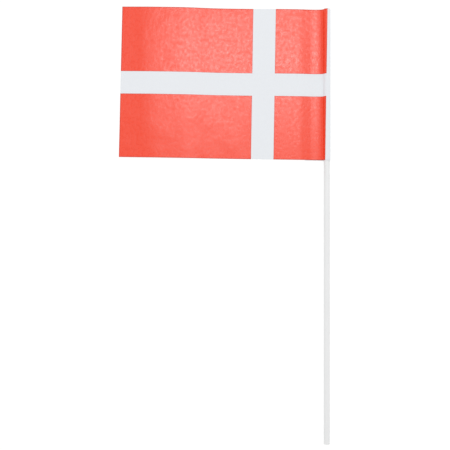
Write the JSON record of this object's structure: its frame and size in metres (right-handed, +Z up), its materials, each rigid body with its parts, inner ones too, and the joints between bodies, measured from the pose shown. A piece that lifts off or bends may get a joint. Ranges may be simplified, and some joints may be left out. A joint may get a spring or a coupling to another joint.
{
  "type": "hand flag",
  "caption": "Printed paper hand flag with a white cross on red, wrapped and glued round a thin hollow stick.",
  "frame": {"origin": "centre of the stick's open lower end, on the stick's axis", "axes": "+Y along the stick towards the flag, +Z up from the table it lies on, the flag flies towards -X"},
  "size_m": [0.1947, 0.4025, 0.0063],
  "materials": {
    "stick_plastic": "satin white extruded tube",
    "printed_paper": "semi-gloss red ink on matt white paper"
  },
  "bodies": {
    "root": {"stick": "stick_plastic", "flag_sheet": "printed_paper"}
  },
  "joints": []
}
